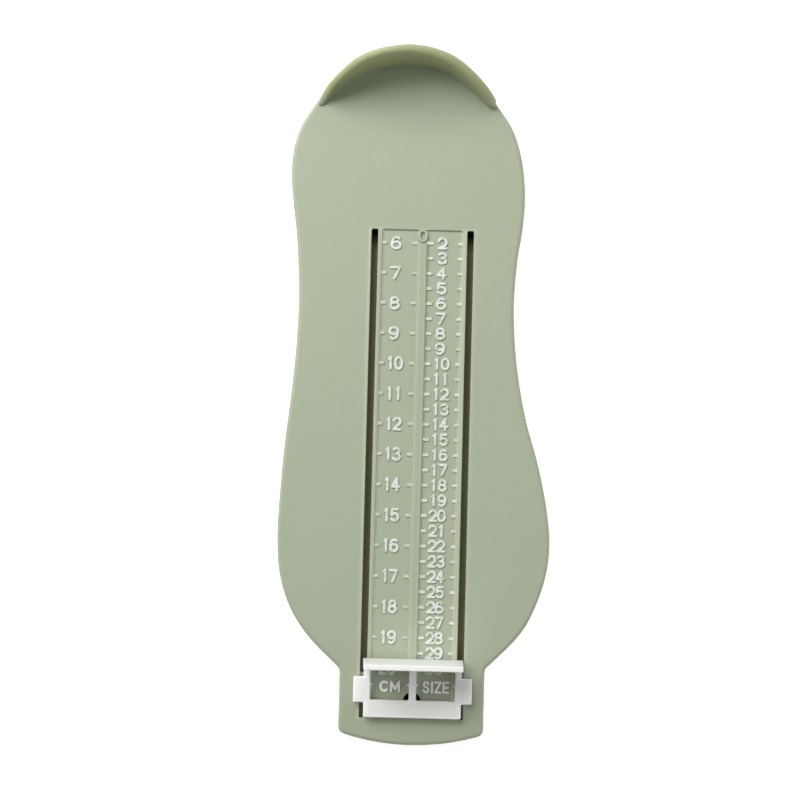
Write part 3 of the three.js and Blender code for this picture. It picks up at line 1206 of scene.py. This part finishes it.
def make_scale():
    z0, z1 = FLOOR - 0.12, FLOOR + 0.45
    cm = Marks()
    for n in range(6, 21):
        single = n < 10
        cm.text(str(n), -8.75 if single else -8.3, n * 10 + (0.1 if single else 0.0), 2.75, 1.36 if single else 1.1, 1.86, 0.45, z0, z1)
    cm.piece("numbers_left", FOIL)
    size = Marks()
    for n in range(2, 31):
        single = n < 10
        size.text(str(n), 6.6 if single else 7.05, 59.95 + (n - 2) * 5, 2.85, 1.3 if single else 1.1, 1.66, 0.43, z0, z1)
    size.piece("numbers_right", FOIL)
    labels = Marks()
    labels.text("C", -8.9, 206.0, 3.0, 1.3, 1.5, 0.46, z0, z1)
    labels.text("M", -5.4, 206.0, 3.0, 1.3, 1.5, 0.42, z0, z1)
    for char, u, w in (("S", 4.75, 0.85), ("I", 6.7, 0.8), ("Z", 8.65, 0.85), ("E", 11.3, 0.8)):
        labels.text(char, u, 206.0, 3.0, w, 1.6, 0.42, z0, z1)
    labels.piece("unit_labels", FOIL_SHADE_LIFTED)
    z2 = FLOOR + TICK_HIGH - 0.17
    left = Marks()
    for n in range(6, 21):
        left.bar(-FIELD_OUT - 0.2, -FIELD_OUT + 1.9, n * 10, z0, z2)
        left.bar(-FIELD_IN - 1.9, -FIELD_IN + 0.2, n * 10, z0, z2)
    left.piece("ticks_left", FOIL_THIN)
    right = Marks()
    for n in range(29):
        right.bar(FIELD_IN - 0.2, FIELD_IN + 2.1, 60 + 5 * n, z0, z2)
        right.bar(FIELD_OUT - 1.85, FIELD_OUT + 0.2, 60 + 5 * n, z0, z2)
    right.piece("ticks_right", FOIL_TICK)


# ---- slider ----
def make_slider():
    # the frame lies behind the toe stop and jogs out into two ears
    base = block(-FRAME_HALF, FRAME_HALF, STOP_AT + 0.9, FRAME_END, FRAME_0, FRAME_1)
    for k in (-1, 1):
        join(base, block(k * (FRAME_HALF - 0.5), k * EAR_OUT, EAR_FIRST, EAR_LAST, FRAME_0, FRAME_1))
    clean(base)
    bevel(base, 0.3, 3)
    for a, b in ((-WINDOW_OUT, -WINDOW_IN), (WINDOW_IN, WINDOW_OUT)):
        shape = rect(a, b, WINDOW_FIRST, WINDOW_LAST, 0.35)
        levels = [(0.15, 0), (0.15, FRAME_0 + 0.02), (0.05, FRAME_0 + 0.14)]
        levels += [(d, z) for d, z in flare(0.18, FRAME_1)] + [(0.18, 14)]
        cut(base, stack("window", shape, levels))
    # the upright toe stop, a little narrower at its top
    half, low = STOP_HALF, STOP_HALF - STOP_DRAFT
    profile = [
        (-half, FRAME_0),
        (half, FRAME_0),
        (low, STOP_TOP - 0.3),
        (low - 0.3, STOP_TOP),
        (-low + 0.3, STOP_TOP),
        (-low, STOP_TOP - 0.3),
    ]
    y0, y1 = at(0, STOP_AT)[1], at(0, STOP_AT + STOP_THICK)[1]
    stop = body(
        "stop",
        *skin([[(x + AXIS_X, y, z) for x, z in profile] for y in (y0, y1)]),
    )
    bevel(stop, 0.3, 4)
    join(base, stop)
    marks = []
    for u, k in ((-WINDOW_OUT - 0.3, 1), (-WINDOW_IN + 0.3, -1), (WINDOW_IN - 0.3, 1), (WINDOW_OUT + 0.3, -1)):
        tip = u + 1.05 * k
        shape = counterclockwise([at(u, MARK_AT - 0.75), at(tip, MARK_AT - 0.08), at(tip, MARK_AT + 0.08), at(u, MARK_AT + 0.75)])
        marks.append(
            stack("mark", shape, [(0, FRAME_0 + 0.1), (0, FRAME_0 + 1.5), (-0.05, FRAME_0 + 1.62)])
        )
    join(base, *marks)
    base.data.transform(Matrix.Translation((SHIFT, 0, 0)))
    for k in (-1, 1):
        leg = block(k * LEG_IN, k * (LEG_IN + LEG_THICK), LEG_FIRST, LEG_LAST, 0.6, FRAME_0 + 0.6, 0.2, 2)
        hook = block(k * (LEG_IN - 0.7), k * (LEG_IN + 0.9), LEG_FIRST, LEG_LAST, 0.6, 1.2, 0.15, 2)
        join(base, leg, hook)
    finished(base, "slider_moulding", "toe_stop", "white_plastic", WHITE)
    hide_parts("slider")


def make_strap():
    z1 = PLATE_TOP - SKIN - GAP
    strap = block(-STRAP_HALF, STRAP_HALF, LEG_FIRST - 1.4, LEG_LAST + 1.4, z1 - STRAP_THICK, z1)
    for k in (-1, 1):
        a, b = sorted((k * (LEG_IN - GAP), k * (LEG_IN + LEG_THICK + GAP)))
        cut(strap, block(a, b, LEG_FIRST - GAP, LEG_LAST + GAP, -1, 8))
    # between the slots the strap is shorter, clear of the hanging hole
    cut(strap, block(-BRIDGE_HALF, BRIDGE_HALF, BRIDGE_LAST, LEG_LAST + 5, -1, 8))
    clean(strap)
    bevel(strap, 0.25, 3)
    finished(strap, "slider_keeper", "toe_stop", "white_plastic", WHITE)
    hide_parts("slider_strap")


make_footplate()
make_scale()
make_slider()
make_strap()


# ---- floor and light ----
def floor():
    mesh = bpy.data.meshes.new("floor")
    bm = bmesh.new()
    bmesh.ops.create_grid(bm, x_segments=2, y_segments=2, size=12.0)
    bm.to_mesh(mesh)
    bm.free()
    obj = bpy.data.objects.new("floor", mesh)
    obj.location = (0, 0, -0.00005)
    bpy.context.scene.collection.objects.link(obj)
    m = bpy.data.materials.new("floor_white")
    m.use_nodes = True
    shader = m.node_tree.nodes["Principled BSDF"]
    shader.inputs["Base Color"].default_value = (0.93, 0.93, 0.93, 1)
    shader.inputs["Roughness"].default_value = 0.9
    shader.inputs["Specular IOR Level"].default_value = 0.1
    shader.inputs["Emission Color"].default_value = (1, 1, 1, 1)
    shader.inputs["Emission Strength"].default_value = 0.65
    mesh.materials.append(m)
    # a low pale wall far behind, so that the floor doesn't end in the dark in low views
    ring = [(11.5 * math.cos(math.pi * k / 48), 11.5 * math.sin(math.pi * k / 48)) for k in range(96)]
    wall = bpy.data.meshes.new("backdrop")
    verts = [(x, y, z) for z in (-0.00005, 0.5) for x, y in ring]
    faces = [(k, (k + 1) % 96, 96 + (k + 1) % 96, 96 + k) for k in range(96)]
    wall.from_pydata(verts, [], faces)
    wall.materials.append(m)
    backdrop = bpy.data.objects.new("backdrop", wall)
    bpy.context.scene.collection.objects.link(backdrop)
    # painted shade: a dark card under the gauge, hidden by it, stands in for the shade seen down the slots and the
    # hanging hole
    card = body("card", [(x, y, 0.0) for x, y in grow(EDGE, -4.0)], [tuple(range(len(EDGE)))])
    card.data.transform(Matrix.Scale(0.001, 4))
    card.location = (0, 0, -0.00002)
    d = bpy.data.materials.new("card_dark")
    d.use_nodes = True
    shader = d.node_tree.nodes["Principled BSDF"]
    nodes, links = d.node_tree.nodes, d.node_tree.links
    coords = nodes.new("ShaderNodeTexCoord")
    # painted shadow: the card is nearly black under the hanging hole
    far = nodes.new("ShaderNodeVectorMath")
    far.operation = "DISTANCE"
    far.inputs[1].default_value = (*(v * 0.001 for v in at(HANG_U, HANG_AT)), 0.0)
    links.new(coords.outputs["Object"], far.inputs[0])
    near = nodes.new("ShaderNodeMapRange")
    near.inputs["From Min"].default_value = 0.004
    near.inputs["From Max"].default_value = 0.008
    links.new(far.outputs["Value"], near.inputs["Value"])
    painted_shade_tone = nodes.new("ShaderNodeMix")
    painted_shade_tone.data_type = "RGBA"
    painted_shade_tone.inputs[6].default_value = (0.02, 0.02, 0.014, 1)
    painted_shade_tone.inputs[7].default_value = (0.34, 0.33, 0.20, 1)
    # painted shadow: it is darkest under the slots' heel ends
    split = nodes.new("ShaderNodeSeparateXYZ")
    links.new(coords.outputs["Object"], split.inputs["Vector"])
    head = nodes.new("ShaderNodeMapRange")
    head.inputs["From Min"].default_value = (ZERO_Y - SLOT_FIRST - 7.0) * 0.001
    head.inputs["From Max"].default_value = (ZERO_Y - SLOT_FIRST - 1.0) * 0.001
    head.inputs["To Min"].default_value = 1.0
    head.inputs["To Max"].default_value = 0.0
    links.new(split.outputs["Y"], head.inputs["Value"])
    both = nodes.new("ShaderNodeMath")
    both.operation = "MULTIPLY"
    links.new(near.outputs["Result"], both.inputs[0])
    links.new(head.outputs["Result"], both.inputs[1])
    links.new(both.outputs[0], painted_shade_tone.inputs["Factor"])
    links.new(painted_shade_tone.outputs[2], shader.inputs["Base Color"])
    shader.inputs["Roughness"].default_value = 0.9
    shader.inputs["Specular IOR Level"].default_value = 0.1
    card.data.materials.append(d)


def area(name, azimuth, elevation, distance, size, power, target=(0.0, 0.0, 0.0)):
    """A soft light. Azimuth 0 is the right side, 90 the heel and 180 the left."""
    data = bpy.data.lights.new(name, "AREA")
    data.shape = "DISK"
    data.size = size
    data.energy = power
    obj = bpy.data.objects.new(name, data)
    a, e = math.radians(azimuth), math.radians(elevation)
    way = Vector((math.cos(a) * math.cos(e), math.sin(a) * math.cos(e), math.sin(e)))
    obj.location = Vector(target) + way * distance
    obj.rotation_mode = "QUATERNION"
    obj.rotation_quaternion = way.to_track_quat("Z", "Y")
    bpy.context.scene.collection.objects.link(obj)
    return obj


floor()
area("key_light", 129, 46, 0.8, 0.6, 6.35)
area("left_light", 175, 33, 0.8, 0.4, 1.15)
area("heel_fill", 60, 33, 0.8, 0.4, 0.95)
area("right_fill", 352, 33, 0.8, 0.4, 1.0)
area("toe_fill", 300, 33, 0.8, 0.4, 0.34)
area("top_fill", 300, 78, 0.8, 0.4, 0.68)
world = bpy.data.worlds.new("studio")
world.use_nodes = True
world.node_tree.nodes["Background"].inputs["Color"].default_value = (1, 1, 1, 1)
world.node_tree.nodes["Background"].inputs["Strength"].default_value = 0.02
bpy.context.scene.world = world
bpy.context.scene.view_settings.view_transform = "Standard"
bpy.context.scene.view_settings.look = "None"
